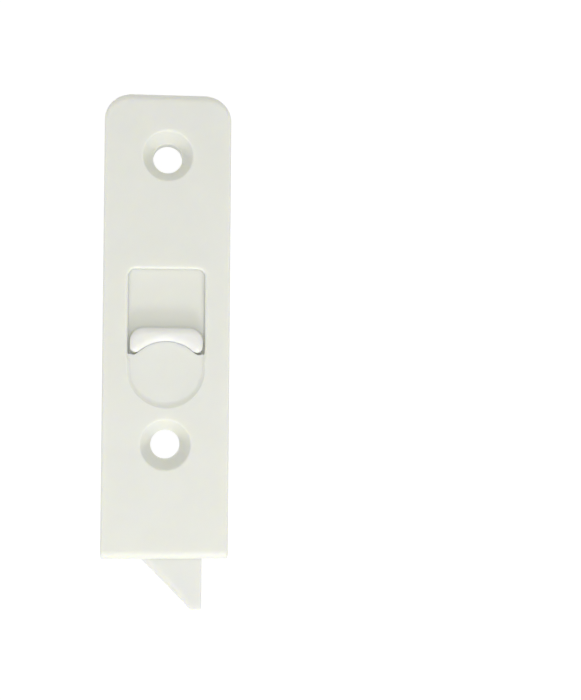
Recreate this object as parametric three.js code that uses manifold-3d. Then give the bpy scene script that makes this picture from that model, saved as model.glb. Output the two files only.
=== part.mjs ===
// Surface-mounted tilt latch for a sash window, left-hand pattern.
// The latch lies on its back: +Z comes out of the face, +Y runs from the bolt to the rounded end,
// and the origin is on the back plane, midway between the two screw holes.
// All lengths are in millimetres.

import * as THREE from 'three';
import { mergeVertices } from 'three/addons/utils/BufferGeometryUtils.js';
import Module from 'manifold-3d';

const wasm = await Module();
wasm.setup();

// ---- Driving dimensions ----

// Housing outside
const bodyWidth = 22.2;
const bodyDepth = 7.5;
const boltEndY = -45.35;
const roundEndY = 36.35;
const planCornerRadius = 4.8;
const endEdgeRadius = 1.5;
const sideEdgeRadius = 0.4;

// Housing walls
const sideWall = 1.8;
const roundEndWall = 2.0;
const boltEndWall = 2.2;
const faceThickness = 1.5;

// Screw holes
const screwSpacing = 50.8;
const bossRadius = 5.0;
const sinkRadius = 4.25;
const sinkLip = 0.45;
const sinkDepth = 3.3;
const boreRadius = 2.6;

// Thumb window, its tongue and the finger dish below it
const windowHalfWidth = 6.75;
const windowTopY = 5.5;
const windowCornerRadius = 1.4;
const windowPocketRadius = 1.0;
const tongueCentreY = -14.45;
const tongueRadius = 7.2;
const dishCentreY = -12.2;
const dishDepth = 0.5;
const dishRim = 0.9;

// Moving pieces
const boltTravel = 9.5;
const boltProjection = 9.1;
const noseHalfWidth = 6.6;
const noseTipWidth = 1.4;
const shankHalfWidth = 7.6;
const carriageTopZ = 3.95;
const slideTopZ = 5.7;
const slideThickness = 1.45;
const slideBottomY = -19.5;
const slideTopY = 7.5;
const tailY = 8.0;
const boltEdge = 0.25;
const slideCornerRadius = 1.0;
const pegHalfWidth = 1.1;
const pegX = 4.7;
const pegCentresY = [-11.5, 2.5];

// Thumb pull
const pullHalfWidth = 6.35;
const pullTopY = -5.0;
const pullShoulderRadius = 2.4;
const pullTipRadius = 1.0;
const pullProud = 1.0;
const pullEdgeWidth = 0.6;
const pullEdgeHeight = 0.9;

// Return spring and its seat
const springRadius = 1.5;
const wireDiameter = 0.45;
const springTurns = 15;
const springFloorY = -14.8;
const springSeatY = 19.6;
const springSeatHalfWidth = 2.4;
const closedTurnGap = 0.15;
const guidePinLength = 5.0;
const guidePinRadius = 0.85;

// Back plate
const plateThickness = 0.9;
const plateScrewRadius = 3.5;
const earLength = 5.0;
const earReach = 0.4;
const earRecessDepth = 0.8;
const earCentresY = [-33.0, -8.0, 12.0, 27.0];

// Ribs that guide the bolt
const ribThickness = 1.2;
const ribCentresY = [-38.0, -27.0, -15.0, -2.0, 17.0];

// Clearances
const gap = 0.3;
const slideGap = 0.25;
const pullGap = 0.2;
const shoulderGap = 0.2;
const slotEndGap = 0.5;

// ---- Worked-out dimensions ----

const halfWidth = bodyWidth / 2;
const faceBackZ = bodyDepth - faceThickness;
const holeY = screwSpacing / 2;
const cavityHalfWidth = halfWidth - sideWall;
const cavityBottomY = boltEndY + boltEndWall;
const cavityTopY = roundEndY - roundEndWall;
const movingBottomZ = plateThickness + gap;
const slotHalfWidth = bossRadius + gap;
const slotBottomY = -holeY - boltTravel - bossRadius - slotEndGap;
const slotTopY = -holeY + bossRadius + gap;
const springZ = (plateThickness + slideTopZ - slideThickness) / 2;

const quarter = Math.PI / 2;
// How far a cutter runs past what it cuts, and a rib or boss into the wall that it grows from.
const through = 1.0;
const root = 0.2;
const mergeTolerance = 1e-4;

// ---- Solids ----

function toSolid(geometry) {
  const bare = geometry.clone();
  bare.deleteAttribute('normal');
  bare.deleteAttribute('uv');
  const merged = mergeVertices(bare, mergeTolerance);
  return new wasm.Manifold(new wasm.Mesh({
    numProp: 3,
    vertProperties: new Float32Array(merged.attributes.position.array),
    triVerts: new Uint32Array(merged.index.array),
  }));
}

function toGeometry(solid) {
  const mesh = solid.getMesh();
  const geometry = new THREE.BufferGeometry();
  geometry.setAttribute('position', new THREE.BufferAttribute(mesh.vertProperties, 3));
  geometry.setIndex(new THREE.BufferAttribute(mesh.triVerts, 1));
  geometry.computeVertexNormals();
  return geometry;
}

function rectangle(x0, x1, y0, y1) {
  const shape = new THREE.Shape();
  shape.moveTo(x0, y0);
  shape.lineTo(x1, y0);
  shape.lineTo(x1, y1);
  shape.lineTo(x0, y1);
  shape.closePath();
  return shape;
}

// A rectangle centred on x = 0 with round corners; a radius of 0 leaves the corner square.
function roundedRectangle(halfX, y0, y1, bottomRadius, topRadius) {
  const shape = new THREE.Shape();
  const corner = (x, y, inX, inY, radius, start) => {
    if (radius > 0) {
      shape.absarc(x + inX * radius, y + inY * radius, radius, start, start + quarter, false);
    } else {
      shape.lineTo(x, y);
    }
  };
  shape.moveTo(-halfX + bottomRadius, y0);
  corner(halfX, y0, -1, 1, bottomRadius, -quarter);
  corner(halfX, y1, -1, -1, topRadius, 0);
  corner(-halfX, y1, 1, -1, topRadius, quarter);
  corner(-halfX, y0, 1, 1, bottomRadius, 2 * quarter);
  return shape;
}

// A rectangle whose lower edge is hollowed by the tongue's circle. The two corners left beside
// the hollow are round, and their arcs run smoothly into the sides and into the hollow.
function overTongue(halfX, topY, topRadius, tipRadius, hollowRadius) {
  const tipX = halfX - tipRadius;
  const rise = Math.sqrt((hollowRadius + tipRadius) ** 2 - tipX ** 2);
  const tipY = tongueCentreY + rise;
  const lean = Math.atan2(rise, tipX);
  const shape = new THREE.Shape();
  shape.moveTo(halfX, tipY);
  shape.absarc(halfX - topRadius, topY - topRadius, topRadius, 0, quarter, false);
  shape.absarc(-halfX + topRadius, topY - topRadius, topRadius, quarter, 2 * quarter, false);
  shape.absarc(-tipX, tipY, tipRadius, 2 * quarter, 4 * quarter - lean, false);
  shape.absarc(0, tongueCentreY, hollowRadius, 2 * quarter - lean, lean, true);
  shape.absarc(tipX, tipY, tipRadius, 2 * quarter + lean, 4 * quarter, false);
  return shape;
}

function disc(x, y, radius) {
  const shape = new THREE.Shape();
  shape.absarc(x, y, radius, 0, 4 * quarter, false);
  return shape;
}

// A prism whose outline lies in the XY plane, between two heights.
function upright(shape, z0, z1, curveSegments = 4) {
  const geometry = new THREE.ExtrudeGeometry(shape, {
    depth: z1 - z0, bevelEnabled: false, curveSegments,
  });
  return toSolid(geometry.translate(0, 0, z0));
}

// A prism along X whose outline is drawn in Y and Z.
function acrossX(shape, x0, x1) {
  const geometry = new THREE.ExtrudeGeometry(shape, {
    depth: x1 - x0, bevelEnabled: false, curveSegments: 3,
  });
  const turn = new THREE.Matrix4().makeBasis(
    new THREE.Vector3(0, 1, 0), new THREE.Vector3(0, 0, 1), new THREE.Vector3(1, 0, 0));
  return toSolid(geometry.translate(0, 0, x0).applyMatrix4(turn));
}

// A prism along Y whose outline is drawn in X and Z.
function alongY(shape, y0, y1) {
  const geometry = new THREE.ExtrudeGeometry(shape, {
    depth: y1 - y0, bevelEnabled: false, curveSegments: 1,
  });
  const turn = new THREE.Matrix4().makeBasis(
    new THREE.Vector3(1, 0, 0), new THREE.Vector3(0, 0, 1), new THREE.Vector3(0, -1, 0));
  return toSolid(geometry.translate(0, 0, -y1).applyMatrix4(turn));
}

function block(x0, x1, y0, y1, z0, z1) {
  return upright(rectangle(x0, x1, y0, y1), z0, z1);
}

function post(x, y, radius, z0, z1, segments = 24) {
  const geometry = new THREE.CylinderGeometry(radius, radius, z1 - z0, segments);
  return toSolid(geometry.rotateX(quarter).translate(x, y, (z0 + z1) / 2));
}

function joined(solids) {
  return solids.reduce((sum, solid) => sum.add(solid));
}

function cut(solid, tools) {
  return tools.reduce((rest, tool) => rest.subtract(tool), solid);
}

// ---- Housing ----

// The outside is what three crossed prisms share: the plan, the side view and the end view.
function housingOutside() {
  const plan = roundedRectangle(halfWidth, boltEndY, roundEndY, 0, planCornerRadius);

  const side = new THREE.Shape();
  side.moveTo(boltEndY, 0);
  side.lineTo(roundEndY, 0);
  const endArcZ = bodyDepth - endEdgeRadius;
  side.absarc(roundEndY - endEdgeRadius, endArcZ, endEdgeRadius, 0, quarter, false);
  side.absarc(boltEndY + endEdgeRadius, endArcZ, endEdgeRadius, quarter, 2 * quarter, false);

  const end = new THREE.Shape();
  end.moveTo(-halfWidth, 0);
  end.lineTo(halfWidth, 0);
  const sideArcZ = bodyDepth - sideEdgeRadius;
  end.absarc(halfWidth - sideEdgeRadius, sideArcZ, sideEdgeRadius, 0, quarter, false);
  end.absarc(-halfWidth + sideEdgeRadius, sideArcZ, sideEdgeRadius, quarter, 2 * quarter, false);

  return upright(plan, 0, bodyDepth, 5)
    .intersect(acrossX(side, -halfWidth - through, halfWidth + through))
    .intersect(alongY(end, boltEndY - through, roundEndY + through));
}

// The hollow behind the face, and the notch in the end wall that the bolt passes through.
function housingHollow() {
  const innerRadius = planCornerRadius - sideWall;
  const cavity = roundedRectangle(cavityHalfWidth, cavityBottomY, cavityTopY, 0, innerRadius);
  const notchHalfWidth = noseHalfWidth + slideGap;
  return joined([
    upright(cavity, -through, faceBackZ),
    block(-notchHalfWidth, notchHalfWidth, boltEndY - through, cavityBottomY + through, -through, faceBackZ),
  ]);
}

// Ribs on the side walls keep the bolt straight.
function guideRibs() {
  const inner = shankHalfWidth + slideGap;
  const outer = cavityHalfWidth + root;
  return [-1, 1].flatMap((side) => ribCentresY.map((y) => {
    const [x0, x1] = side > 0 ? [inner, outer] : [-outer, -inner];
    return block(x0, x1, y - ribThickness / 2, y + ribThickness / 2, movingBottomZ, faceBackZ + root);
  }));
}

// The seat that the spring pushes on, with its guide pin.
function springSeat() {
  const pin = new THREE.CylinderGeometry(guidePinRadius, guidePinRadius, guidePinLength + through, 16);
  pin.translate(0, springSeatY - (guidePinLength - through) / 2, springZ);
  return [
    block(-springSeatHalfWidth, springSeatHalfWidth, springSeatY, holeY - bossRadius + through,
      movingBottomZ, faceBackZ + root),
    toSolid(pin),
  ];
}

// One turned cutter makes the chamfered lip, the conical seat and the bore.
function screwHole(y) {
  const profile = [
    [0, -through],
    [boreRadius, -through],
    [boreRadius, bodyDepth - sinkDepth],
    [sinkRadius, bodyDepth - sinkLip],
    [sinkRadius + sinkLip, bodyDepth],
    [sinkRadius + sinkLip, bodyDepth + through],
    [0, bodyDepth + through],
  ];
  const points = profile.map(([radius, z]) => new THREE.Vector2(radius, z));
  const geometry = new THREE.LatheGeometry(points, 32);
  return toSolid(geometry.rotateX(quarter).translate(0, y, 0));
}

// The window leaves a round tongue of the face standing in its lower edge.
function thumbWindow() {
  const opening = overTongue(
    windowHalfWidth, windowTopY, windowCornerRadius, windowPocketRadius, tongueRadius);
  return upright(opening, faceBackZ - through, bodyDepth + through, 6);
}

// The dish has straight sides, a half-round lower end and a sloping rim. It opens into the window.
function fingerDish() {
  const outline = new THREE.Shape();
  outline.moveTo(windowHalfWidth, pullTopY);
  outline.lineTo(-windowHalfWidth, pullTopY);
  outline.absarc(0, dishCentreY, windowHalfWidth, 2 * quarter, 4 * quarter, false);
  const bowl = new THREE.ExtrudeGeometry(outline, {
    depth: through, bevelEnabled: true, bevelThickness: dishDepth, bevelSize: dishRim,
    bevelOffset: -dishRim, bevelSegments: 2, curveSegments: 10,
  });
  return toSolid(bowl.translate(0, 0, bodyDepth));
}

// Recesses in the side walls take the ears of the back plate.
function earRecesses() {
  const reach = cavityHalfWidth + earRecessDepth;
  const half = earLength / 2 + gap;
  return earCentresY.map((y) => block(-reach, reach, y - half, y + half, -through, movingBottomZ));
}

function housing() {
  const bosses = [-holeY, holeY].map((y) => post(0, y, bossRadius, movingBottomZ, faceBackZ + root, 32));
  const shell = cut(housingOutside(), [housingHollow(), ...earRecesses()]);
  const filled = joined([shell, ...bosses, ...guideRibs(), ...springSeat()]);
  return cut(filled, [screwHole(-holeY), screwHole(holeY), fingerDish(), thumbWindow()]);
}

// ---- Back plate ----

// The plate closes the back: a tab fills the notch under the bolt, and ears click into the side walls.
function backPlate() {
  const halfX = cavityHalfWidth - slideGap;
  const earX = cavityHalfWidth + earReach;
  const cornerRadius = planCornerRadius - sideWall;
  const topY = cavityTopY - slideGap;
  const rightEdge = [
    [noseHalfWidth, boltEndY + slideGap],
    [noseHalfWidth, cavityBottomY + slideGap],
    [halfX, cavityBottomY + slideGap],
  ];
  for (const y of earCentresY) {
    const low = y - earLength / 2;
    const high = y + earLength / 2;
    rightEdge.push([halfX, low], [earX, low], [earX, high], [halfX, high]);
  }
  const outline = new THREE.Shape(rightEdge.map(([x, y]) => new THREE.Vector2(x, y)));
  outline.absarc(halfX - cornerRadius, topY - cornerRadius, cornerRadius, 0, quarter, false);
  outline.absarc(-halfX + cornerRadius, topY - cornerRadius, cornerRadius, quarter, 2 * quarter, false);
  rightEdge.reverse().forEach(([x, y]) => outline.lineTo(-x, y));
  outline.holes.push(disc(0, -holeY, plateScrewRadius), disc(0, holeY, plateScrewRadius));
  return upright(outline, 0, plateThickness, 8);
}

// ---- Bolt ----

// Wedge nose, two rails around the lower boss, and the bridge that joins them.
function boltFront() {
  const tipY = boltEndY - boltProjection;
  const shoulderY = cavityBottomY + shoulderGap;
  const tipLeftX = noseHalfWidth - noseTipWidth;
  const front = new THREE.Shape();
  front.moveTo(-shankHalfWidth, slotTopY + gap);
  front.lineTo(-shankHalfWidth, shoulderY);
  front.lineTo(-noseHalfWidth, shoulderY);
  front.lineTo(tipLeftX, tipY);
  front.lineTo(noseHalfWidth, tipY);
  front.lineTo(noseHalfWidth, shoulderY);
  front.lineTo(shankHalfWidth, shoulderY);
  front.lineTo(shankHalfWidth, slotTopY + gap);
  front.closePath();
  const geometry = new THREE.ExtrudeGeometry(front, {
    depth: slideTopZ - movingBottomZ - 2 * boltEdge, bevelEnabled: true, bevelThickness: boltEdge,
    bevelSize: boltEdge, bevelOffset: -boltEdge, bevelSegments: 2,
  });
  const slot = block(-slotHalfWidth, slotHalfWidth, slotBottomY, slotTopY + through, 0, bodyDepth);
  return toSolid(geometry.translate(0, 0, movingBottomZ + boltEdge)).subtract(slot);
}

// The thinner carriage under the thumb slide, with the spring channel open at its tail.
function boltCarriage() {
  const channelHalfWidth = springRadius + slideGap;
  const carriage = block(-shankHalfWidth, shankHalfWidth, slotTopY, tailY, movingBottomZ, carriageTopZ);
  const channel = block(-channelHalfWidth, channelHalfWidth, springFloorY, tailY + through, 0, bodyDepth);
  return cut(carriage, [channel, ...snapPegs(pegHalfWidth + gap, 0, bodyDepth)]);
}

// Square pegs of the thumb slide; the same places, a little wider, are its sockets in the bolt.
function snapPegs(half, z0, z1) {
  return [-pegX, pegX].flatMap((x) => pegCentresY.map((y) =>
    block(x - half, x + half, y - half, y + half, z0, z1)));
}

function latchBolt() {
  return boltFront().add(boltCarriage());
}

// ---- Thumb slide ----

// The pull is a bar with a hollow lower edge that fits over the tongue of the housing.
function pull() {
  const outline = overTongue(
    pullHalfWidth, pullTopY, pullShoulderRadius, pullTipRadius, tongueRadius + pullGap);
  const height = bodyDepth + pullProud - slideTopZ;
  const bar = new THREE.ExtrudeGeometry(outline, {
    depth: height, bevelEnabled: true, bevelThickness: pullEdgeHeight, bevelSize: pullEdgeWidth,
    bevelOffset: -pullEdgeWidth, bevelSegments: 3, curveSegments: 4,
  });
  const footZ = slideTopZ - slideThickness / 2;
  const foot = block(-halfWidth, halfWidth, boltEndY, roundEndY, footZ, 2 * bodyDepth);
  return toSolid(bar.translate(0, 0, slideTopZ - pullEdgeHeight)).intersect(foot);
}

function thumbSlide() {
  const outline = roundedRectangle(
    shankHalfWidth, slideBottomY, slideTopY, slideCornerRadius, slideCornerRadius);
  return joined([
    upright(outline, slideTopZ - slideThickness, slideTopZ),
    ...snapPegs(pegHalfWidth, movingBottomZ + gap, slideTopZ - slideThickness / 2),
    pull(),
  ]);
}

// ---- Return spring ----

// A coil along Y whose end turns lie close and whose other turns share the rest of the length.
class CoilCurve extends THREE.Curve {
  constructor(radius, length, turns, endPitch) {
    super();
    Object.assign(this, { radius, length, turns, endPitch });
  }

  getPoint(t, target = new THREE.Vector3()) {
    const turn = t * this.turns;
    const openPitch = (this.length - 2 * this.endPitch) / (this.turns - 2);
    const fromStart = Math.min(turn, 1) * this.endPitch;
    const middle = Math.min(Math.max(turn - 1, 0), this.turns - 2) * openPitch;
    const toEnd = Math.max(turn - this.turns + 1, 0) * this.endPitch;
    const angle = turn * 4 * quarter;
    return target.set(
      this.radius * Math.cos(angle), fromStart + middle + toEnd, this.radius * Math.sin(angle));
  }
}

function returnSpring(length) {
  const wireRadius = wireDiameter / 2;
  const coil = new CoilCurve(
    springRadius - wireRadius, length - wireDiameter, springTurns, wireDiameter + closedTurnGap);
  const stepsPerTurn = 12;
  const geometry = new THREE.ExtrudeGeometry(disc(0, 0, wireRadius), {
    steps: springTurns * stepsPerTurn, extrudePath: coil, curveSegments: 3,
  });
  return toGeometry(toSolid(geometry));
}

// ---- Scene ----

const ivory = { color: 0xe7e8e1, roughness: 0.42, metalness: 0.0 };

function piece(name, geometry, finish) {
  const mesh = new THREE.Mesh(geometry, new THREE.MeshStandardMaterial(finish));
  mesh.name = name;
  return mesh;
}

const latch = new THREE.Group();
latch.add(piece('housing', toGeometry(housing()), ivory));
latch.add(piece('back_plate', toGeometry(backPlate()), { ...ivory, roughness: 0.5 }));

const slidingPieces = new THREE.Group();
slidingPieces.add(piece('latch_bolt', toGeometry(latchBolt()), { ...ivory, roughness: 0.38 }));
slidingPieces.add(piece('thumb_slide', toGeometry(thumbSlide()), ivory));
latch.add(slidingPieces);

const springLength = springSeatY - springFloorY - 2 * gap;
const spring = piece('return_spring', returnSpring(springLength), {
  color: 0xb4b6b8, roughness: 0.3, metalness: 1.0,
});
spring.position.set(0, springFloorY + gap + wireDiameter / 2, springZ);
latch.add(spring);

export default latch;
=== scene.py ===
"""Looks for a surface-mounted sash tilt latch: five moulded and wound pieces on a pale floor.

The latch lies on its back with its bolt towards -Y. Shapes are worked out in millimetres and
made in metres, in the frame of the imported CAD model.
"""

import math

import bmesh
import bpy
from mathutils import Matrix, Vector
from mathutils.geometry import tessellate_polygon


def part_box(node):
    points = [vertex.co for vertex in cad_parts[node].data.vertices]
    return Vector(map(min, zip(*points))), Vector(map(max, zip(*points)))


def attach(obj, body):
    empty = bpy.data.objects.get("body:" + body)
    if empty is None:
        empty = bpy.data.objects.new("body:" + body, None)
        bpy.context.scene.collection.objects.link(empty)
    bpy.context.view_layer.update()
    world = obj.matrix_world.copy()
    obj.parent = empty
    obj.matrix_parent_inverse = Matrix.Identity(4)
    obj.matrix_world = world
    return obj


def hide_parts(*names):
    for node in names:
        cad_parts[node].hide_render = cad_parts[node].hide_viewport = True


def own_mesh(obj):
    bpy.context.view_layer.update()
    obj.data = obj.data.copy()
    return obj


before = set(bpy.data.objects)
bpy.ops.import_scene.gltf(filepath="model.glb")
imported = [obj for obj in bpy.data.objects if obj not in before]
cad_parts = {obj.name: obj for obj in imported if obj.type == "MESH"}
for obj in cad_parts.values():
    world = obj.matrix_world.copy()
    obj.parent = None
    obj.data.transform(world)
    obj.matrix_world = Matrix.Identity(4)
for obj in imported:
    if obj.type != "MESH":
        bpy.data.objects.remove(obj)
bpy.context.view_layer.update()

MM = 0.001
TAU = 2 * math.pi
QUARTER = math.pi / 2


def corner_mm(node):
    """A CAD node's lowest and highest corners in millimetres."""
    low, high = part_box(node)
    return Vector(low) / MM, Vector(high) / MM


HOUSING_LOW, HOUSING_HIGH = corner_mm("housing")
PLATE_LOW, PLATE_HIGH = corner_mm("back_plate")
BOLT_LOW, BOLT_HIGH = corner_mm("latch_bolt")
SLIDE_LOW, SLIDE_HIGH = corner_mm("thumb_slide")
SPRING_LOW, SPRING_HIGH = corner_mm("return_spring")

# ---- Sizes in millimetres ----

# Housing outside
HALF_WIDTH = HOUSING_HIGH.x
FACE_Z = HOUSING_HIGH.z
BOLT_END_Y = HOUSING_LOW.y
ROUND_END_Y = HOUSING_HIGH.y
PLAN_CORNER = 4.8
SQUARE_CORNER = 0.5
SIDE_EDGE = 0.4
END_EDGE = 1.5
FOOT_EDGE = 0.15

# Housing inside
SIDE_WALL = 1.8
ROUND_END_WALL = 2.0
BOLT_END_WALL = 2.2
FACE_THICKNESS = 1.5
CAVITY_HALF_WIDTH = HALF_WIDTH - SIDE_WALL
CAVITY_CORNER = PLAN_CORNER - SIDE_WALL
CAVITY_BOTTOM_Y = BOLT_END_Y + BOLT_END_WALL
CAVITY_TOP_Y = ROUND_END_Y - ROUND_END_WALL
FACE_BACK_Z = FACE_Z - FACE_THICKNESS
RIB_THICKNESS = 1.2
RIB_CENTRES_Y = (-38.0, -27.0, -15.0, -2.0, 17.0)

# Screw holes
HOLE_Y = 25.4
BOSS_RADIUS = 5.0
SINK_RADIUS = 4.25
SINK_LIP = 0.45
SINK_DEPTH = 3.3
SINK_FLARE = 1.25
BORE_EDGE = 0.08
BORE_RADIUS = 2.6
PLATE_HOLE_RADIUS = 3.5

# Thumb window, its tongue and the dish below it
WINDOW_HALF_WIDTH = 6.75
WINDOW_TOP_Y = 5.5
WINDOW_CORNER = 1.4
WINDOW_POCKET = 1.0
WINDOW_EDGE = 0.5
EDGE_LEAN = math.radians(55)
TONGUE_EDGE = 0.06
TONGUE_Y = -14.45
TONGUE_RADIUS = 7.2
DISH_CENTRE_Y = -12.2
DISH_DEPTH = 0.42
DISH_RIM = 1.2
DISH_EDGE = 0.05

# Pull
PULL_HALF_WIDTH = 6.35
PULL_TOP_Y = -5.0
PULL_SHOULDER = 2.4
PULL_TIP = 1.0
PULL_GAP = 0.03
PULL_CROWN = 1.15
PULL_CROWN_LEAN = math.radians(45)
PULL_FOOT = 0.6
PULL_FOOT_GAP = 0.1
PULL_ROOT = 0.05
# Heights over which the pull's crest is painted paler: a painted highlight.
HIGHLIGHT_PAINT_FROM_Z = FACE_BACK_Z + 0.3
HIGHLIGHT_PAINT_TO_Z = FACE_Z + 0.6

# Bolt and slide
NOSE_HALF_WIDTH = 6.6
NOSE_TIP_WIDTH = 1.8
SHANK_HALF_WIDTH = BOLT_HIGH.x
TAIL_Y = BOLT_HIGH.y
BOLT_TOP_Z = BOLT_HIGH.z
BOLT_BOTTOM_Z = BOLT_LOW.z
BOLT_EDGE = 0.3
SLOPE_EDGE = 1.3
SLOPE_RUN_IN = 0.1
SLOPE_RUN_OUT = 0.35
CARRIAGE_TOP_Z = 3.95
SLOT_HALF_WIDTH = 5.3
SLOT_BOTTOM_Y = -40.4
SLOT_TOP_Y = -20.1
CHANNEL_HALF_WIDTH = 1.75
CHANNEL_FLOOR_Y = -14.8
SLIDE_TOP_Z = FACE_BACK_Z - 0.08
SLIDE_BOTTOM_Z = 4.25
PEG_X = 4.7
PEG_CENTRES_Y = (-11.5, 2.5)
PEG_HALF = 1.1

# Clearances
GAP = 0.3
SLIDE_GAP = 0.25

# Back plate
PLATE_EDGE = 0.12
EAR_LENGTH = 5.0
EAR_CENTRES_Y = (-33.0, -8.0, 12.0, 27.0)

# Spring
WIRE = 0.45
SPRING_TURNS = 15
SPRING_SEAT_Y = 19.6


# ---- Outlines: closed loops of (x, y) points, counter-clockwise seen from above ----


def arc(x, y, radius, start, end, steps):
    """Points on an arc from one angle to another, both ends included."""
    return [
        (x + radius * math.cos(a), y + radius * math.sin(a))
        for a in (start + (end - start) * k / steps for k in range(steps + 1))
    ]


def circle(y, radius, steps=96):
    """A circle centred on the latch's centreline."""
    return arc(0, y, radius, 0, TAU, steps)[:-1]


def rounded_rectangle(x, y0, y1, bottom, top, steps=10):
    """A rectangle from -x to x with one radius for its lower corners and one for its upper."""
    return (
        arc(x - bottom, y0 + bottom, bottom, -QUARTER, 0, steps)
        + arc(x - top, y1 - top, top, 0, QUARTER, steps)
        + arc(-x + top, y1 - top, top, QUARTER, 2 * QUARTER, steps)
        + arc(-x + bottom, y0 + bottom, bottom, 2 * QUARTER, 3 * QUARTER, steps)
    )


CORNER_STEPS = 6


def rounded_polygon(corners):
    """A polygon from (x, y, radius) corners, each replaced by an arc, in or out."""
    points = []
    count = len(corners)
    for i, (x, y, radius) in enumerate(corners):
        here = Vector((x, y))
        back = (Vector(corners[i - 1][:2]) - here).normalized()
        on = (Vector(corners[(i + 1) % count][:2]) - here).normalized()
        half = back.angle(on) / 2
        reach = radius / math.tan(half)
        centre = here + (back + on).normalized() * radius / math.sin(half)
        first = here + back * reach - centre
        last = here + on * reach - centre
        sweep = first.angle_signed(last) * -1
        start = math.atan2(first.y, first.x)
        points += arc(centre.x, centre.y, radius, start, start + sweep, CORNER_STEPS)
    return points


def offset(outline, distance):
    """The outline moved outwards along its normals, by one distance or by one for each point."""
    reach = distance if isinstance(distance, list) else [distance] * len(outline)
    moved = []
    count = len(outline)
    for i, (x, y) in enumerate(outline):
        before = Vector(outline[i - 1])
        after = Vector(outline[(i + 1) % count])
        here = Vector((x, y))
        a = (here - before).normalized()
        b = (after - here).normalized()
        normal = Vector((a.y + b.y, -a.x - b.x)).normalized()
        stretch = 1 / max(0.5, normal.dot(Vector((a.y, -a.x))))
        moved.append((x + normal.x * reach[i] * stretch, y + normal.y * reach[i] * stretch))
    return moved


# ---- Skins: rings of points joined into one mesh ----


class Skin:
    """Gathers rings of points, in millimetres, and the faces between them."""

    def __init__(self):
        self.points = []
        self.faces = []

    def ring(self, outline, z):
        """Adds a loop of points at one height, or with one height for each point."""
        heights = z if isinstance(z, (list, tuple)) else [z] * len(outline)
        first = len(self.points)
        self.points += [Vector((x, y, h)) for (x, y), h in zip(outline, heights)]
        return list(range(first, len(self.points)))

    def bridge(self, rings):
        """Joins each ring to the next with quads."""
        for low, high in zip(rings, rings[1:]):
            count = len(low)
            for i in range(count):
                j = (i + 1) % count
                self.faces.append((low[i], low[j], high[j], high[i]))

    def fill(self, *rings):
        """Fills the flat area inside the first ring and outside the others."""
        flat = [index for ring in rings for index in ring]
        loops = [[self.points[index] for index in ring] for ring in rings]
        self.faces += [tuple(flat[k] for k in triangle) for triangle in tessellate_polygon(loops)]

    def mesh(self, name):
        """The mesh, in metres, with its faces turned outwards."""
        mesh = bpy.data.meshes.new(name)
        mesh.from_pydata([point * MM for point in self.points], [], self.faces)
        work = bmesh.new()
        work.from_mesh(mesh)
        bmesh.ops.remove_doubles(work, verts=work.verts, dist=1e-8)
        bmesh.ops.recalc_face_normals(work, faces=work.faces)
        work.to_mesh(mesh)
        work.free()
        return mesh


def fillet(radius, steps):
    """(inset, drop) pairs of a quarter round, from the wall up to the flat."""
    angles = [QUARTER * k / steps for k in range(steps + 1)]
    return [(radius * (1 - math.cos(a)), radius * (1 - math.sin(a))) for a in angles]


def slab(skin, outline, z0, z1, edge, holes=(), steps=4, front_edges=None):
    """A plate with rounded edges all round, and round-edged holes through it.

    front_edges gives the outline's front edge one radius for each point.
    """
    tops, bottoms = [], []
    for loop, way in [(outline, -1)] + [(hole, 1) for hole in holes]:
        radii = front_edges if front_edges and loop is outline else [edge] * len(loop)
        rings = [
            skin.ring(offset(loop, way * inset), z0 + drop)
            for inset, drop in reversed(fillet(edge, steps))
        ]
        for inset, drop in fillet(1, steps):
            moved = offset(loop, [way * inset * radius for radius in radii])
            rings.append(skin.ring(moved, [z1 - drop * radius for radius in radii]))
        skin.bridge(rings)
        bottoms.append(rings[0])
        tops.append(rings[-1])
    skin.fill(*tops)
    skin.fill(*bottoms)


def prism(outlines, z0, z1):
    """A sharp-edged prism with holes, for cutting with."""
    skin = Skin()
    low = [skin.ring(outline, z0) for outline in outlines]
    high = [skin.ring(outline, z1) for outline in outlines]
    for a, b in zip(low, high):
        skin.bridge([a, b])
    skin.fill(*low)
    skin.fill(*high)
    return skin


def box_outline(x0, x1, y0, y1):
    return [(x0, y0), (x1, y0), (x1, y1), (x0, y1)]


# ---- Objects ----


def new_object(name, mesh):
    thing = bpy.data.objects.new(name, mesh)
    bpy.context.scene.collection.objects.link(thing)
    return thing


def combine(thing, skins, operation):
    """Cuts each skin's solid out of the object, or joins it to the object."""
    for skin in skins:
        tool = new_object("tool", skin.mesh("tool"))
        modifier = thing.modifiers.new("combine", "BOOLEAN")
        modifier.operation = operation
        modifier.solver = "EXACT"
        modifier.object = tool
        depsgraph = bpy.context.evaluated_depsgraph_get()
        result = bpy.data.meshes.new_from_object(thing.evaluated_get(depsgraph))
        thing.modifiers.clear()
        old = thing.data
        thing.data = result
        bpy.data.meshes.remove(old)
        tool_mesh = tool.data
        bpy.data.objects.remove(tool)
        bpy.data.meshes.remove(tool_mesh)


def cut(thing, skins):
    combine(thing, skins, "DIFFERENCE")


def join(thing, skins):
    combine(thing, skins, "UNION")


def smooth(thing, angle=32):
    """Smooth shading that keeps the flats flat and the sharp edges sharp."""
    thing.data.shade_smooth()
    thing.data.set_sharp_from_angle(angle=math.radians(angle))
    weighted = thing.modifiers.new("weighted_normals", "WEIGHTED_NORMAL")
    weighted.keep_sharp = True
    weighted.weight = 100


def finish_piece(thing, node, body, material):
    thing.data.materials.clear()
    thing.data.materials.append(material)
    for polygon in thing.data.polygons:
        polygon.material_index = 0
    smooth(thing)
    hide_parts(node)
    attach(thing, body)
    return thing


# ---- Housing ----


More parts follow.
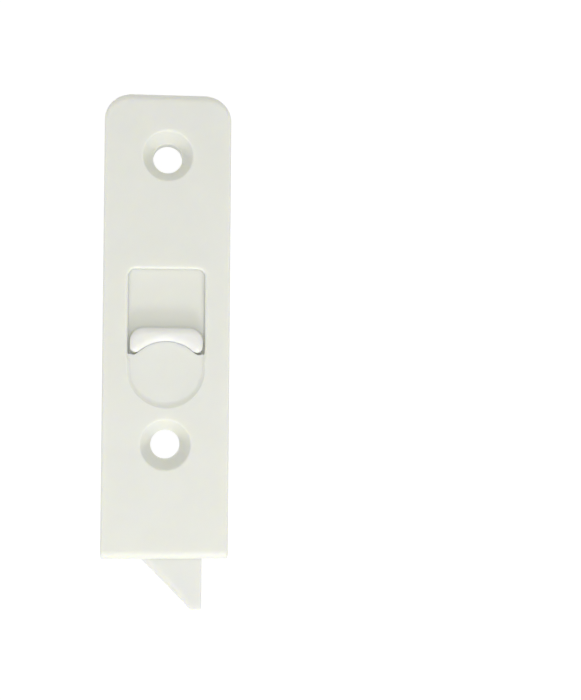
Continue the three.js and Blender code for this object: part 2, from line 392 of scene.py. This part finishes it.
def body_ring(skin, side_inset, end_inset, side_z, end_z):
    """A loop round the body; its sides and ends can have different insets and heights."""
    shrink = (side_inset + end_inset) / 2
    top = PLAN_CORNER - shrink
    bottom = max(SQUARE_CORNER - shrink, 0.12)
    steps = 20
    x = HALF_WIDTH - side_inset
    y0 = BOLT_END_Y + end_inset
    y1 = ROUND_END_Y - end_inset
    outline = rounded_rectangle(x, y0, y1, bottom, top, steps)
    starts = (-QUARTER, 0, QUARTER, 2 * QUARTER)
    turns = [k / steps * QUARTER + start for start in starts for k in range(steps + 1)]
    heights = [side_z * math.cos(a) ** 2 + end_z * math.sin(a) ** 2 for a in turns]
    return skin.ring(outline, heights)


def housing_walls(skin):
    """The outer wall from its foot to the face, and the loops at its foot and face."""
    foot = reversed(fillet(FOOT_EDGE, 3))
    rings = [body_ring(skin, inset, inset, drop, drop) for inset, drop in foot]
    steps = 10
    for side, end in zip(fillet(SIDE_EDGE, steps), fillet(END_EDGE, steps)):
        rings.append(body_ring(skin, side[0], end[0], FACE_Z - side[1], FACE_Z - end[1]))
    skin.bridge(rings)
    return rings[0], rings[-1]


def screw_hole(skin, y):
    """A soft lip, a conical seat that eases into the bore's edge, and a straight bore."""
    bore_top = FACE_Z - SINK_DEPTH
    rings = [skin.ring(circle(y, BORE_RADIUS), 0)]
    for inset, drop in fillet(BORE_EDGE, 4):
        rings.append(skin.ring(circle(y, BORE_RADIUS + inset), bore_top - drop))
    steps = 16
    reach = SINK_RADIUS - BORE_RADIUS - BORE_EDGE
    for k in range(1, steps + 1):
        share = k / steps
        height = bore_top + (SINK_DEPTH - SINK_LIP) * share**SINK_FLARE
        rings.append(skin.ring(circle(y, BORE_RADIUS + BORE_EDGE + reach * share), height))
    for inset, drop in fillet(SINK_LIP, 6)[1:]:
        rings.append(skin.ring(circle(y, SINK_RADIUS + inset), FACE_Z - drop))
    skin.bridge(rings)
    return rings[0], rings[-1]


def tongue_fit(half_width, tip, hollow):
    """Where a corner circle sits that touches the side and the hollow: its centre and its lean."""
    x = half_width - tip
    rise = math.sqrt((hollow + tip) ** 2 - x**2)
    return x, TONGUE_Y + rise, math.atan2(rise, x)


def evenly(path, count):
    """count + 1 points spread evenly along a path of points."""
    lengths = [0.0]
    for a, b in zip(path, path[1:]):
        lengths.append(lengths[-1] + math.dist(a, b))
    spread = []
    k = 0
    for i in range(count + 1):
        at = lengths[-1] * i / count
        while k < len(path) - 2 and lengths[k + 1] < at:
            k += 1
        span = max(lengths[k + 1] - lengths[k], 1e-12)
        t = min(max((at - lengths[k]) / span, 0), 1)
        spread.append(tuple(a + (b - a) * t for a, b in zip(path[k], path[k + 1])))
    return spread


LOWER_STEPS = 120


def window_lower_edge():
    """The window's lower edge from right to left: a pocket, the tongue, a pocket."""
    x, y, lean = tongue_fit(WINDOW_HALF_WIDTH, WINDOW_POCKET, TONGUE_RADIUS)
    path = (
        arc(x, y, WINDOW_POCKET, 0, -2 * QUARTER + lean, 40)
        + arc(0, TONGUE_Y, TONGUE_RADIUS, lean, 2 * QUARTER - lean, 120)[1:]
        + arc(-x, y, WINDOW_POCKET, -lean, -2 * QUARTER, 40)[1:]
    )
    return evenly(path, LOWER_STEPS)


def dish_lower_edge():
    """The dish's edge from right to left: straight, half round, straight."""
    _, y, _ = tongue_fit(WINDOW_HALF_WIDTH, WINDOW_POCKET, TONGUE_RADIUS)
    path = (
        [(WINDOW_HALF_WIDTH, y)]
        + arc(0, DISH_CENTRE_Y, WINDOW_HALF_WIDTH, 0, -2 * QUARTER, 160)
        + [(-WINDOW_HALF_WIDTH, y)]
    )
    return evenly(path, LOWER_STEPS)


def window_upper_edge():
    """The window's sides and top, from the left pocket over the top to the right pocket."""
    x, y = WINDOW_HALF_WIDTH - WINDOW_CORNER, WINDOW_TOP_Y - WINDOW_CORNER
    left = arc(-WINDOW_HALF_WIDTH + WINDOW_CORNER, y, WINDOW_CORNER, 2 * QUARTER, QUARTER, 12)
    return left + arc(x, y, WINDOW_CORNER, QUARTER, 0, 12)


def ease(t):
    t = min(max(t, 0), 1)
    return t * t * (3 - 2 * t)


def window_and_dish(skin):
    """The window's wall, and between it and the face the dish, narrowing to a plain round edge."""
    upper = window_upper_edge()
    inner = window_lower_edge() + upper
    outer = dish_lower_edge() + upper
    # Both loops run clockwise, so outwards from the opening is an inward offset.
    plain_rim = offset(outer, -WINDOW_EDGE)
    dish_rim = offset(outer, -DISH_EDGE)
    sections = [section(*points) for points in zip(plain_rim, dish_rim, outer, inner)]
    rings = []
    for level in zip(*sections):
        rings.append(skin.ring([(x, y) for x, y, _ in level], [z for _, _, z in level]))
    rings.append(skin.ring(inner, 0))
    skin.bridge(rings)
    return rings[-1], rings[0]


def section(plain_rim, dish_rim, outer, inner):
    """The points of one section from the face down to the window's wall.

    Where the dish has no width this is a round edge. Where it is wide, the rim starts with a
    crisp edge, runs out into a flat floor, and ends in a small round edge over the window.
    """
    rim_steps, floor_steps, edge_steps = 12, 4, 8
    total = rim_steps + floor_steps + edge_steps
    width = math.dist(outer, inner)
    full = math.dist(dish_rim, inner)
    rim_width = min(DISH_RIM, full * 0.6)
    edge = min(TONGUE_EDGE, full * 0.2)
    blend = ease(width / DISH_RIM)
    points = []
    for k in range(total + 1):
        a = EDGE_LEAN * k / total
        share = math.sin(a) / math.sin(EDGE_LEAN)
        plain = (
            plain_rim[0] + (outer[0] - plain_rim[0]) * share,
            plain_rim[1] + (outer[1] - plain_rim[1]) * share,
            FACE_Z - WINDOW_EDGE / math.sin(EDGE_LEAN) * (1 - math.cos(a)),
        )
        if k <= rim_steps:
            t = k / rim_steps
            distance = rim_width * t
            drop = DISH_DEPTH * (1 - (1 - t) ** 2)
        elif k <= rim_steps + floor_steps:
            distance = rim_width + (full - edge - rim_width) * (k - rim_steps) / floor_steps
            drop = DISH_DEPTH
        else:
            b = QUARTER * (k - rim_steps - floor_steps) / edge_steps
            distance = full - edge + edge * math.sin(b)
            drop = DISH_DEPTH + edge * (1 - math.cos(b))
        along = distance / full if full else 0
        wide = (
            dish_rim[0] + (inner[0] - dish_rim[0]) * along,
            dish_rim[1] + (inner[1] - dish_rim[1]) * along,
            FACE_Z - drop,
        )
        points.append(tuple(p + (w - p) * blend for p, w in zip(plain, wide)))
    return points


def cavity_cutters():
    """Three prisms: the plate's recess, the hollow above it, and the notch for the bolt."""
    ear_x = CAVITY_HALF_WIDTH + 0.8
    ear_half = EAR_LENGTH / 2 + GAP
    ear_corner = [(CAVITY_BOTTOM_Y, CAVITY_HALF_WIDTH)]
    for y in EAR_CENTRES_Y:
        ear_corner += [(y - ear_half, CAVITY_HALF_WIDTH), (y - ear_half, ear_x)]
        ear_corner += [(y + ear_half, ear_x), (y + ear_half, CAVITY_HALF_WIDTH)]
    rib_corner = [(CAVITY_BOTTOM_Y, CAVITY_HALF_WIDTH)]
    rib_x = SHANK_HALF_WIDTH + SLIDE_GAP
    for y in RIB_CENTRES_Y:
        low, high = y - RIB_THICKNESS / 2, y + RIB_THICKNESS / 2
        rib_corner += [(low, CAVITY_HALF_WIDTH), (low, rib_x), (high, rib_x), (high, CAVITY_HALF_WIDTH)]
    recess = prism([side_to_loop(ear_corner)], -1, BOLT_BOTTOM_Z)
    hollow = prism(
        [side_to_loop(rib_corner), circle(-HOLE_Y, BOSS_RADIUS, 64), circle(HOLE_Y, BOSS_RADIUS, 64)],
        BOLT_BOTTOM_Z - 0.05, FACE_BACK_Z)
    notch_x = NOSE_HALF_WIDTH + SLIDE_GAP
    notch = box_outline(-notch_x, notch_x, BOLT_END_Y - 1, CAVITY_BOTTOM_Y + 0.5)
    return [recess, hollow, prism([notch], -1, FACE_BACK_Z)]


def side_to_loop(right_side):
    """A symmetric outline from the (y, x) corners of its right side, closed by two round corners."""
    top = CAVITY_TOP_Y - CAVITY_CORNER
    x = CAVITY_HALF_WIDTH - CAVITY_CORNER
    return (
        [(x, y) for y, x in right_side]
        + arc(x, top, CAVITY_CORNER, 0, QUARTER, 10)
        + arc(-x, top, CAVITY_CORNER, QUARTER, 2 * QUARTER, 10)
        + [(-x, y) for y, x in reversed(right_side)]
    )


def spring_seat():
    """The block on the upper boss that the spring pushes on, and its round-nosed guide pin."""
    skin = Skin()
    seat = rounded_rectangle(2.4, SPRING_SEAT_Y, HOLE_Y - BOSS_RADIUS + 1, 0.3, 0.3, 4)
    slab(skin, seat, BOLT_BOTTOM_Z, FACE_BACK_Z + 0.3, 0.1)
    pin = Skin()
    radius, length, nose = 0.85, 5.0, 0.4
    rings = [pin.ring(circle(0, radius - inset, 24), length - drop) for inset, drop in fillet(nose, 4)]
    rings.insert(0, pin.ring(circle(0, radius, 24), -0.5))
    pin.bridge(rings)
    pin.fill(rings[0])
    pin.fill(rings[-1])
    spring_z = (SPRING_LOW.z + SPRING_HIGH.z) / 2
    for point in pin.points:
        x, y, z = point
        point.xyz = (x, SPRING_SEAT_Y - z, spring_z + y)
    return [skin, pin]


def round_notch_edges(thing):
    """Rounds the edges that the bolt's notch leaves in the end wall."""
    notch_x = (NOSE_HALF_WIDTH + SLIDE_GAP) * MM
    weights = thing.data.attributes.new("bevel_weight_edge", "FLOAT", "EDGE")
    for edge in thing.data.edges:
        a, b = (thing.data.vertices[v].co for v in edge.vertices)
        at_end = all(abs(p.y - BOLT_END_Y * MM) < 1e-6 for p in (a, b))
        on_sides = all(abs(abs(p.x) - notch_x) < 1e-6 for p in (a, b))
        on_top = all(abs(p.z - FACE_BACK_Z * MM) < 1e-6 for p in (a, b))
        weights.data[edge.index].value = 1.0 if at_end and (on_sides or on_top) else 0.0
    bevel = thing.modifiers.new("notch_edges", "BEVEL")
    bevel.limit_method = "WEIGHT"
    bevel.width = 0.2 * MM
    bevel.segments = 3


def make_housing(material):
    skin = Skin()
    foot, face = housing_walls(skin)
    upper_foot, upper_face = screw_hole(skin, HOLE_Y)
    lower_foot, lower_face = screw_hole(skin, -HOLE_Y)
    window_foot, window_face = window_and_dish(skin)
    skin.fill(face, upper_face, lower_face, window_face)
    skin.fill(foot, upper_foot, lower_foot, window_foot)
    thing = new_object("case", skin.mesh("case"))
    cut(thing, cavity_cutters())
    round_notch_edges(thing)
    join(thing, spring_seat())
    return finish_piece(thing, "housing", "case", material)


# ---- Back plate ----


def make_back_plate(material):
    x = CAVITY_HALF_WIDTH - SLIDE_GAP
    ear_x = PLATE_HIGH.x
    corner = CAVITY_CORNER
    top = CAVITY_TOP_Y - SLIDE_GAP
    small = 0.25
    right = [
        (NOSE_HALF_WIDTH, PLATE_LOW.y, small),
        (NOSE_HALF_WIDTH, CAVITY_BOTTOM_Y + SLIDE_GAP, small),
        (x, CAVITY_BOTTOM_Y + SLIDE_GAP, small),
    ]
    for y in EAR_CENTRES_Y:
        low, high = y - EAR_LENGTH / 2, y + EAR_LENGTH / 2
        right += [(x, low, small), (ear_x, low, small), (ear_x, high, small), (x, high, small)]
    right.append((x, top, corner))
    left = [(-x, y, radius) for x, y, radius in reversed(right)]
    skin = Skin()
    holes = [circle(-HOLE_Y, PLATE_HOLE_RADIUS, 64), circle(HOLE_Y, PLATE_HOLE_RADIUS, 64)]
    slab(skin, rounded_polygon(right + left), 0, PLATE_HIGH.z, PLATE_EDGE, holes, 3)
    thing = new_object("back_cover", skin.mesh("back_cover"))
    ejector_marks = [prism([arc(mark_x, mark_y, 1.6, 0, TAU, 40)[:-1]], -0.5, 0.08)
                     for mark_x in (-6.0, 6.0) for mark_y in (-20.0, 19.0)]
    cut(thing, ejector_marks)
    return finish_piece(thing, "back_plate", "case", material)


# ---- Bolt ----


def soften_slope(outline):
    """Adds points along the nose's slope, and gives each point's radius of the front edge."""
    slope_end = len(outline) - (CORNER_STEPS + 1)
    start, end = Vector(outline[slope_end - 1]), Vector(outline[slope_end])
    steps = 24
    along, radii = [], []
    for k in range(1, steps):
        t = k / steps
        along.append(tuple(start.lerp(end, t)))
        grown = ease(t / SLOPE_RUN_IN) * ease((1 - t) / SLOPE_RUN_OUT)
        radii.append(BOLT_EDGE + (SLOPE_EDGE - BOLT_EDGE) * grown)
    edges = [BOLT_EDGE] * slope_end + radii + [BOLT_EDGE] * (len(outline) - slope_end)
    return outline[:slope_end] + along + outline[slope_end:], edges


def make_bolt(material):
    tip_y = BOLT_LOW.y
    shoulder_y = CAVITY_BOTTOM_Y + 0.2
    tip, plain, tight = 0.5, 0.5, 0.3
    outline = rounded_polygon([
        (NOSE_HALF_WIDTH, tip_y, tip),
        (NOSE_HALF_WIDTH, shoulder_y, tight),
        (SHANK_HALF_WIDTH, shoulder_y, tight),
        (SHANK_HALF_WIDTH, TAIL_Y, plain),
        (CHANNEL_HALF_WIDTH, TAIL_Y, plain),
        (CHANNEL_HALF_WIDTH, CHANNEL_FLOOR_Y, tight),
        (-CHANNEL_HALF_WIDTH, CHANNEL_FLOOR_Y, tight),
        (-CHANNEL_HALF_WIDTH, TAIL_Y, plain),
        (-SHANK_HALF_WIDTH, TAIL_Y, plain),
        (-SHANK_HALF_WIDTH, shoulder_y, tight),
        (-NOSE_HALF_WIDTH, shoulder_y, tight),
        (NOSE_HALF_WIDTH - NOSE_TIP_WIDTH, tip_y, tip),
    ])
    outline, edges = soften_slope(outline)
    slot = rounded_rectangle(SLOT_HALF_WIDTH, SLOT_BOTTOM_Y, SLOT_TOP_Y, 1.0, 1.0, 8)
    sockets = [
        [(x + side * PEG_X, y) for x, y in rounded_rectangle(PEG_HALF + GAP, peg_y - PEG_HALF - GAP,
                                                            peg_y + PEG_HALF + GAP, 0.35, 0.35, 4)]
        for side in (-1, 1) for peg_y in PEG_CENTRES_Y
    ]
    skin = Skin()
    slab(skin, outline, BOLT_BOTTOM_Z, BOLT_TOP_Z, BOLT_EDGE, [slot] + sockets, 6, edges)
    thing = new_object("wedge_bolt", skin.mesh("wedge_bolt"))
    step = SHANK_HALF_WIDTH + 1
    above_carriage = box_outline(-step, step, SLOT_TOP_Y + GAP, TAIL_Y + 1)
    cut(thing, [prism([above_carriage], CARRIAGE_TOP_Z, BOLT_TOP_Z + 1)])
    return finish_piece(thing, "latch_bolt", "bolt", material)


# ---- Thumb slide ----


def pull_edges():
    """The pull's upper and lower edges, both from its left tip to its right tip."""
    x, y, lean = tongue_fit(PULL_HALF_WIDTH, PULL_TIP, TONGUE_RADIUS + PULL_GAP)
    middle = 3 * QUARTER + 0.1
    shoulder_x = PULL_HALF_WIDTH - PULL_SHOULDER
    shoulder_y = PULL_TOP_Y - PULL_SHOULDER
    upper = (
        arc(-x, y, PULL_TIP, middle, 2 * QUARTER, 16)
        + arc(-shoulder_x, shoulder_y, PULL_SHOULDER, 2 * QUARTER, QUARTER, 30)
        + arc(shoulder_x, shoulder_y, PULL_SHOULDER, QUARTER, 0, 30)
        + arc(x, y, PULL_TIP, 0, 2 * QUARTER - middle, 16)
    )
    lower = (
        arc(-x, y, PULL_TIP, middle, 4 * QUARTER - lean, 16)
        + arc(0, TONGUE_Y, TONGUE_RADIUS + PULL_GAP, 2 * QUARTER - lean, lean, 80)[1:]
        + arc(x, y, PULL_TIP, 2 * QUARTER + lean, 2 * QUARTER - middle + 4 * QUARTER, 16)[1:]
    )
    steps = 96
    return evenly(upper, steps), evenly(lower, steps)


def crown_height(x, y, outline):
    """How far a point of the crown stands above its edge: a round section, level in the middle."""
    here = Vector((x, y))
    nearest = PULL_CROWN
    for i, point in enumerate(outline):
        start, end = Vector(outline[i - 1]), Vector(point)
        along = end - start
        t = min(max((here - start).dot(along) / max(along.length_squared, 1e-12), 0), 1)
        nearest = min(nearest, (here - start - along * t).length)
    radius = PULL_CROWN / math.sin(PULL_CROWN_LEAN)
    return math.sqrt(radius**2 - (PULL_CROWN - nearest) ** 2) - radius * math.cos(PULL_CROWN_LEAN)


def make_pull():
    """A bar with upright walls and a round crown, that grows out of the plate with a soft foot."""
    skin = Skin()
    upper, lower = pull_edges()
    outline = lower + list(reversed(upper))[1:-1]
    rise = PULL_CROWN / math.sin(PULL_CROWN_LEAN) * (1 - math.cos(PULL_CROWN_LEAN))
    shoulder_z = SLIDE_HIGH.z - rise
    feet = [0.0] * len(lower)
    for x, _ in outline[len(lower):]:
        feet.append(min(PULL_FOOT, WINDOW_HALF_WIDTH - abs(x) - PULL_FOOT_GAP))
    walls = []
    for k in range(5):
        a = QUARTER * k / 4
        spread_out = [foot * (1 - math.sin(a)) for foot in feet]
        heights = [SLIDE_TOP_Z - PULL_ROOT + foot * (1 - math.cos(a)) for foot in feet]
        walls.append(skin.ring(offset(outline, spread_out), heights))
    across = 24
    stations = len(upper)
    first = len(skin.points)
    for k in range(across + 1):
        share = (1 - math.cos(2 * QUARTER * k / across)) / 2
        for low, high in zip(lower, upper):
            x = low[0] + (high[0] - low[0]) * share
            y = low[1] + (high[1] - low[1]) * share
            skin.points.append(Vector((x, y, shoulder_z + crown_height(x, y, outline))))
    for k in range(across):
        for i in range(stations - 1):
            a = first + k * stations + i
            skin.faces.append((a, a + 1, a + 1 + stations, a + stations))
    low_row = [first + i for i in range(stations)]
    high_row = [first + across * stations + i for i in range(stations)]
    skin.bridge(walls + [low_row + list(reversed(high_row))[1:-1]])
    skin.fill(walls[0])
    return skin


def make_slide(material):
    skin = Skin()
    plate = rounded_rectangle(SLIDE_HIGH.x, SLIDE_LOW.y, SLIDE_HIGH.y, 1.0, 1.0, 8)
    slab(skin, plate, SLIDE_BOTTOM_Z, SLIDE_TOP_Z, 0.12, (), 3)
    thing = new_object("thumb_pull", skin.mesh("thumb_pull"))
    solids = [make_pull()]
    for side in (-1, 1):
        for peg_y in PEG_CENTRES_Y:
            peg = Skin()
            square = rounded_rectangle(PEG_HALF, peg_y - PEG_HALF, peg_y + PEG_HALF, 0.25, 0.25, 4)
            outline = [(x + side * PEG_X, y) for x, y in square]
            slab(peg, outline, SLIDE_LOW.z, SLIDE_BOTTOM_Z + 0.3, 0.2, (), 3)
            solids.append(peg)
    join(thing, solids)
    return finish_piece(thing, "thumb_slide", "bolt", material)


# ---- Return spring ----


def make_spring(material):
    """A wire coil along Y with closed end turns."""
    skin = Skin()
    wire_radius = WIRE / 2
    coil_radius = (SPRING_HIGH.z - SPRING_LOW.z) / 2 - wire_radius
    centre_z = (SPRING_LOW.z + SPRING_HIGH.z) / 2
    length = SPRING_HIGH.y - SPRING_LOW.y - WIRE
    end_pitch = WIRE + 0.1
    open_pitch = (length - 2 * end_pitch) / (SPRING_TURNS - 2)
    per_turn, sides = 32, 12
    rings = []
    for step in range(SPRING_TURNS * per_turn + 1):
        turn = step / per_turn
        along = min(turn, 1) * end_pitch
        along += min(max(turn - 1, 0), SPRING_TURNS - 2) * open_pitch
        along += max(turn - SPRING_TURNS + 1, 0) * end_pitch
        angle = TAU * turn
        out = Vector((math.cos(angle), 0, math.sin(angle)))
        centre = Vector((0, SPRING_LOW.y + wire_radius + along, centre_z)) + out * coil_radius
        first = len(skin.points)
        for k in range(sides):
            a = TAU * k / sides
            skin.points.append(centre + (out * math.cos(a) + Vector((0, math.sin(a), 0))) * wire_radius)
        rings.append(list(range(first, first + sides)))
    skin.bridge(rings)
    skin.faces += [tuple(rings[0]), tuple(rings[-1])]
    thing = new_object("coil_spring", skin.mesh("coil_spring"))
    finish_piece(thing, "return_spring", "case", material)
    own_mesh(thing)
    return thing


# ---- Materials ----


def shader(name):
    material = bpy.data.materials.new(name)
    material.use_nodes = True
    nodes = material.node_tree.nodes
    return material, nodes, material.node_tree.links, nodes["Principled BSDF"]


def noise(nodes, links, place, scale, detail=2.0, roughness=0.5):
    """A noise texture in the object's own space; scale is in bumps a metre."""
    texture = nodes.new("ShaderNodeTexNoise")
    texture.inputs["Scale"].default_value = scale
    texture.inputs["Detail"].default_value = detail
    texture.inputs["Roughness"].default_value = roughness
    links.new(place.outputs["Object"], texture.inputs["Vector"])
    return texture.outputs["Fac"]


def spread(nodes, links, value, low, high):
    """Maps the middle of a noise onto a range."""
    node = nodes.new("ShaderNodeMapRange")
    node.inputs["From Min"].default_value = 0.3
    node.inputs["From Max"].default_value = 0.7
    node.inputs["To Min"].default_value = low
    node.inputs["To Max"].default_value = high
    links.new(value, node.inputs["Value"])
    return node.outputs["Result"]


def plastic(name, colour, shade, rough, grain):
    """Moulded plastic: faint clouding in its colour, a fine tool texture and slow sink marks."""
    material, nodes, links, surface = shader(name)
    place = nodes.new("ShaderNodeTexCoord")

    cloud = spread(nodes, links, noise(nodes, links, place, 160, 3), 0, 1)
    mix = nodes.new("ShaderNodeMix")
    mix.data_type = "RGBA"
    mix.inputs["A"].default_value = (*colour, 1)
    mix.inputs["B"].default_value = (*shade, 1)
    links.new(cloud, mix.inputs["Factor"])
    links.new(mix.outputs["Result"], surface.inputs["Base Color"])

    polish = spread(nodes, links, noise(nodes, links, place, 420, 4), rough - 0.05, rough + 0.05)
    links.new(polish, surface.inputs["Roughness"])

    fine = nodes.new("ShaderNodeBump")
    fine.inputs["Strength"].default_value = grain
    fine.inputs["Distance"].default_value = 0.00003
    links.new(noise(nodes, links, place, 9000, 2), fine.inputs["Height"])
    slow = nodes.new("ShaderNodeBump")
    slow.inputs["Strength"].default_value = 0.12
    slow.inputs["Distance"].default_value = 0.00012
    links.new(noise(nodes, links, place, 190, 1), slow.inputs["Height"])
    links.new(fine.outputs["Normal"], slow.inputs["Normal"])
    links.new(slow.outputs["Normal"], surface.inputs["Normal"])

    surface.inputs["IOR"].default_value = 1.49
    surface.inputs["Subsurface Weight"].default_value = 1.0
    surface.inputs["Subsurface Radius"].default_value = (1.0, 0.93, 0.62)
    surface.inputs["Subsurface Scale"].default_value = 0.0009
    return material


def painted_highlight_crest(material, colour, low_z, high_z):
    """Paints a highlight on the raised part of a piece: its colour turns paler with height, standing in
    for the light on its crest.
    """
    nodes, links = material.node_tree.nodes, material.node_tree.links
    place = nodes.new("ShaderNodeTexCoord")
    axes = nodes.new("ShaderNodeSeparateXYZ")
    links.new(place.outputs["Object"], axes.inputs["Vector"])
    height = nodes.new("ShaderNodeMapRange")
    height.inputs["From Min"].default_value = low_z * MM
    height.inputs["From Max"].default_value = high_z * MM
    links.new(axes.outputs["Z"], height.inputs["Value"])
    base = nodes["Principled BSDF"].inputs["Base Color"]
    mix = nodes.new("ShaderNodeMix")
    mix.data_type = "RGBA"
    links.new(height.outputs["Result"], mix.inputs["Factor"])
    links.new(base.links[0].from_socket, mix.inputs["A"])
    mix.inputs["B"].default_value = (*colour, 1)
    links.new(mix.outputs["Result"], base)
    return material


def spring_steel():
    """Bright drawn wire with faint draw marks."""
    material, nodes, links, surface = shader("spring_steel")
    place = nodes.new("ShaderNodeTexCoord")
    surface.inputs["Metallic"].default_value = 1.0
    tone = spread(nodes, links, noise(nodes, links, place, 900, 3), 0, 1)
    mix = nodes.new("ShaderNodeMix")
    mix.data_type = "RGBA"
    mix.inputs["A"].default_value = (0.42, 0.43, 0.44, 1)
    mix.inputs["B"].default_value = (0.55, 0.55, 0.54, 1)
    links.new(tone, mix.inputs["Factor"])
    links.new(mix.outputs["Result"], surface.inputs["Base Color"])
    polish = spread(nodes, links, noise(nodes, links, place, 4000, 2), 0.22, 0.36)
    links.new(polish, surface.inputs["Roughness"])
    return material


def floor_material():
    """A white sweep that glows a little, so that it stays white round the latch."""
    material, nodes, links, surface = shader("white_sweep")
    place = nodes.new("ShaderNodeTexCoord")
    tone = spread(nodes, links, noise(nodes, links, place, 6, 2), 0.11, 0.13)
    links.new(tone, surface.inputs["Base Color"])
    surface.inputs["Roughness"].default_value = 0.8
    surface.inputs["Emission Color"].default_value = (1, 1, 1, 1)
    surface.inputs["Emission Strength"].default_value = FLOOR_GLOW
    return material


# ---- Stage ----

FLOOR_GLOW = 0.93


def make_floor():
    skin = Skin()
    reach = 3000
    ring = skin.ring(box_outline(-reach, reach, -reach, reach), -0.02)
    skin.faces.append(tuple(ring))
    floor = new_object("floor", skin.mesh("floor"))
    floor.data.materials.append(floor_material())
    floor.visible_diffuse = False


def softbox(name, place, aim, width, height, watts, colour=(1, 1, 1)):
    """A rectangular lamp at place, in millimetres, facing aim."""
    lamp = bpy.data.lights.new(name, "AREA")
    lamp.shape = "RECTANGLE"
    lamp.size = width * MM
    lamp.size_y = height * MM
    lamp.energy = watts
    lamp.color = colour
    thing = bpy.data.objects.new(name, lamp)
    thing.location = Vector(place) * MM
    thing.rotation_mode = "QUATERNION"
    thing.rotation_quaternion = (Vector(aim) - Vector(place)).to_track_quat("-Z", "Y")
    bpy.context.scene.collection.objects.link(thing)


def make_lights():
    softbox("key", (50, -430, 250), (0, 0, 4), 100, 100, 0.62)
    softbox("front", (40, -310, 420), (0, 0, 4), 420, 420, 0.4)
    softbox("overhead", (0, 20, 620), (0, 0, 4), 320, 320, 0.25)
    world = bpy.data.worlds.new("studio")
    world.use_nodes = True
    background = world.node_tree.nodes["Background"]
    background.inputs["Color"].default_value = (1, 1, 1, 1)
    background.inputs["Strength"].default_value = 0.61
    bpy.context.scene.world = world


def make_camera():
    """Straight over the latch's left side, aimed past it to the right, as the pair was photographed."""
    height_over_face = 250.0
    tilt, swing, roll = math.radians(1.734), math.radians(-5.919), math.radians(0.587)
    data = bpy.data.cameras.new("camera")
    data.sensor_width = 36
    data.lens = 73.24
    camera = bpy.data.objects.new("camera", data)
    tilted = Matrix.Rotation(tilt, 4, "X") @ Matrix.Rotation(swing, 4, "Y")
    turn = tilted @ Matrix.Rotation(roll, 4, "Z")
    place = Matrix.Translation(Vector((-4.07, -16.12, FACE_Z + height_over_face)) * MM)
    camera.matrix_world = place @ turn
    data.clip_start = 0.005
    data.clip_end = 20
    bpy.context.scene.collection.objects.link(camera)
    bpy.context.scene.camera = camera
    bpy.context.scene.view_settings.view_transform = "Standard"


# ---- Everything ----

make_camera()
make_floor()
make_lights()

ivory = (0.885, 0.893, 0.83)
ivory_shade = (0.87, 0.878, 0.81)
make_housing(plastic("housing_plastic", ivory, ivory_shade, 0.48, 0.5))
make_back_plate(plastic("plate_plastic", (0.875, 0.883, 0.82), (0.855, 0.863, 0.80), 0.5, 0.7))
make_bolt(plastic("bolt_plastic", (0.865, 0.871, 0.828), (0.855, 0.861, 0.815), 0.34, 0.25))
slide_plastic = plastic("slide_plastic", (0.875, 0.883, 0.815), (0.86, 0.868, 0.797), 0.38, 0.3)
# The slide's crest gets a painted highlight: its colour turns paler with height.
make_slide(painted_highlight_crest(slide_plastic, (0.955, 0.96, 0.885), HIGHLIGHT_PAINT_FROM_Z, HIGHLIGHT_PAINT_TO_Z))
make_spring(spring_steel())
